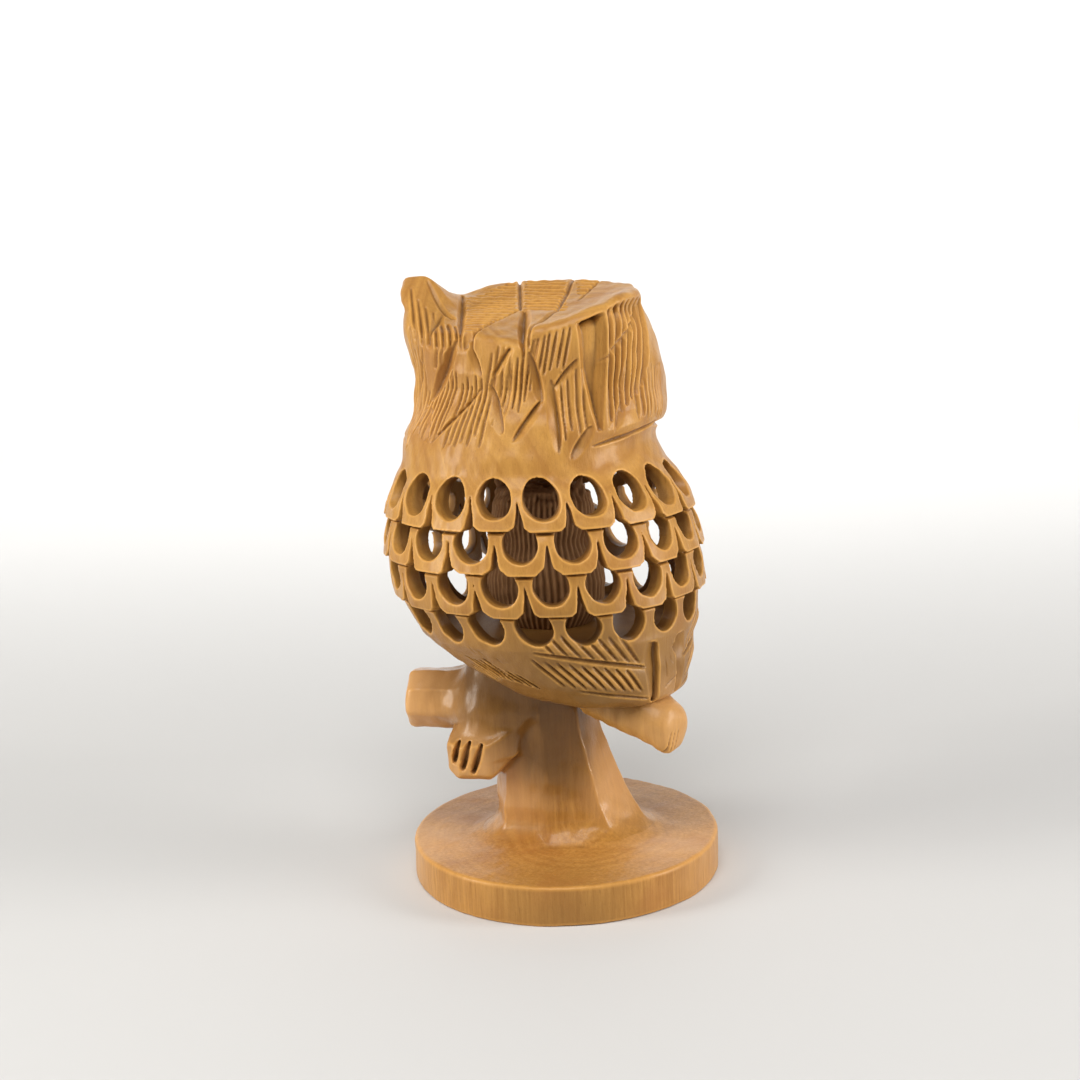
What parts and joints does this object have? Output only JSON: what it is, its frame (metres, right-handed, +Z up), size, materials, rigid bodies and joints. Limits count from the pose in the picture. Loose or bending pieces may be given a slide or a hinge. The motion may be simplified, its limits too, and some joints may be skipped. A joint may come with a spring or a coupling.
{
  "type": "owl figurine",
  "caption": "Carved wooden owl on a log perch with a round base, its rounded body pierced by a lattice with a young owl inside.",
  "frame": {"origin": "middle of the flat underside of the round base", "axes": "+Z up, the owl's head looks along -Y, and its body is turned a quarter turn to its left under the head, so that its tail points near -X"},
  "size_m": [0.0566, 0.0557, 0.1022],
  "materials": {
    "golden_wood": "satin, hand-carved, lightly lacquered",
    "polished_wood": "glossy lacquer over a smoothed surface",
    "raw_wood": "matt, rough from the chisel, unlacquered"
  },
  "bodies": {
    "root": {"base_disc": "polished_wood", "tree_stump": "polished_wood", "perch_log": "polished_wood", "left_foot": "golden_wood", "right_foot": "golden_wood", "tail": "golden_wood", "owl_body_cage": "golden_wood", "left_wing": "golden_wood", "right_wing": "golden_wood", "owl_head": "golden_wood", "young_owl_body": "raw_wood", "young_owl_head": "raw_wood"}
  },
  "joints": []
}
